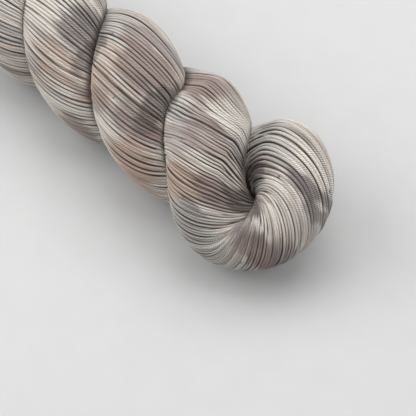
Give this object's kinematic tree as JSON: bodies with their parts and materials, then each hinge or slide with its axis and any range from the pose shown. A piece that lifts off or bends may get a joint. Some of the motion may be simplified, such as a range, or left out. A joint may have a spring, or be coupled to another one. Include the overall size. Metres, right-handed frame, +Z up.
{
  "type": "skein of yarn",
  "caption": "Hand-dyed knitting yarn wound into a hank, twisted, folded and plied back on itself like a rope, with its end tucked through, lying at rest.",
  "frame": {"origin": "bottom centre of the bounding box, on the surface that the skein lies on", "axes": "+X along the rope towards its folded end, +Z up"},
  "size_m": [0.3072, 0.0851, 0.0691],
  "materials": {
    "yarn": "softly spun wool with a low sheen, dyed in short streaks of ivory, pale grey, tan and mauve brown"
  },
  "bodies": {
    "root": {"skein": "yarn"}
  },
  "joints": []
}
